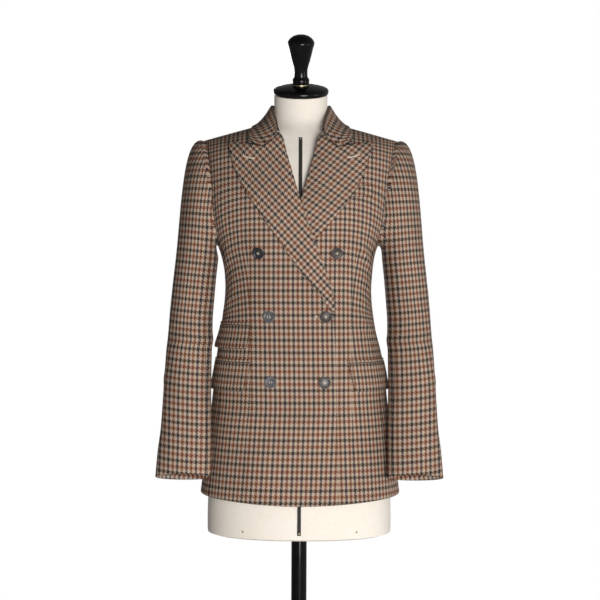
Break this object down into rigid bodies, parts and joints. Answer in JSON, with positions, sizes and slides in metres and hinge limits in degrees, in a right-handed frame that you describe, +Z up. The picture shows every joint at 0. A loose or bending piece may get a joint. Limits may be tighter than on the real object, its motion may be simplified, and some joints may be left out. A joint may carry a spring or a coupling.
{
  "type": "double-breasted blazer on dress form",
  "caption": "Checked double-breasted blazer with wide peak lapels and flap pockets, worn on a limbless dress form with a turned cap, on a pole and round base.",
  "frame": {"origin": "on the pole's axis, at the underside of the base, where it stands on the floor", "axes": "+Z up along the pole; -Y is the front, where the buttons are; +X is the wearer's left"},
  "size_m": [0.517, 0.35, 1.2827],
  "materials": {
    "checked_wool": "woven wool check in cream, rust and navy, matte",
    "horn": "mottled grey-brown, satin",
    "cream_linen": "plain weave, matte",
    "dark_tape": "woven tape, matte",
    "brass": "polished",
    "black_wood": "black gloss lacquer"
  },
  "bodies": {
    "root": {"front_right": "checked_wool", "front_left": "checked_wool", "side_right": "checked_wool", "side_left": "checked_wool", "back_right": "checked_wool", "back_left": "checked_wool", "lapel_right": "checked_wool", "lapel_left": "checked_wool", "collar": "checked_wool", "sleeve_right_upper": "checked_wool", "sleeve_right_under": "checked_wool", "sleeve_left_upper": "checked_wool", "sleeve_left_under": "checked_wool", "flap_right": "checked_wool", "flap_left": "checked_wool", "flap_ticket": "checked_wool", "jet_right": "checked_wool", "jet_left": "checked_wool", "jet_ticket": "checked_wool", "breast_welt": "checked_wool", "button_1": "horn", "button_2": "horn", "button_3": "horn", "button_4": "horn", "button_5": "horn", "button_6": "horn", "cuff_button_right_1": "horn", "cuff_button_right_2": "horn", "cuff_button_right_3": "horn", "cuff_button_left_1": "horn", "cuff_button_left_2": "horn", "cuff_button_left_3": "horn", "form_body": "cream_linen", "centre_tape": "dark_tape", "tack_1": "brass", "tack_2": "brass", "tack_3": "brass", "cap_ring": "brass", "neck_cap": "black_wood", "handle": "black_wood", "pole": "black_wood", "base": "black_wood"}
  },
  "joints": []
}
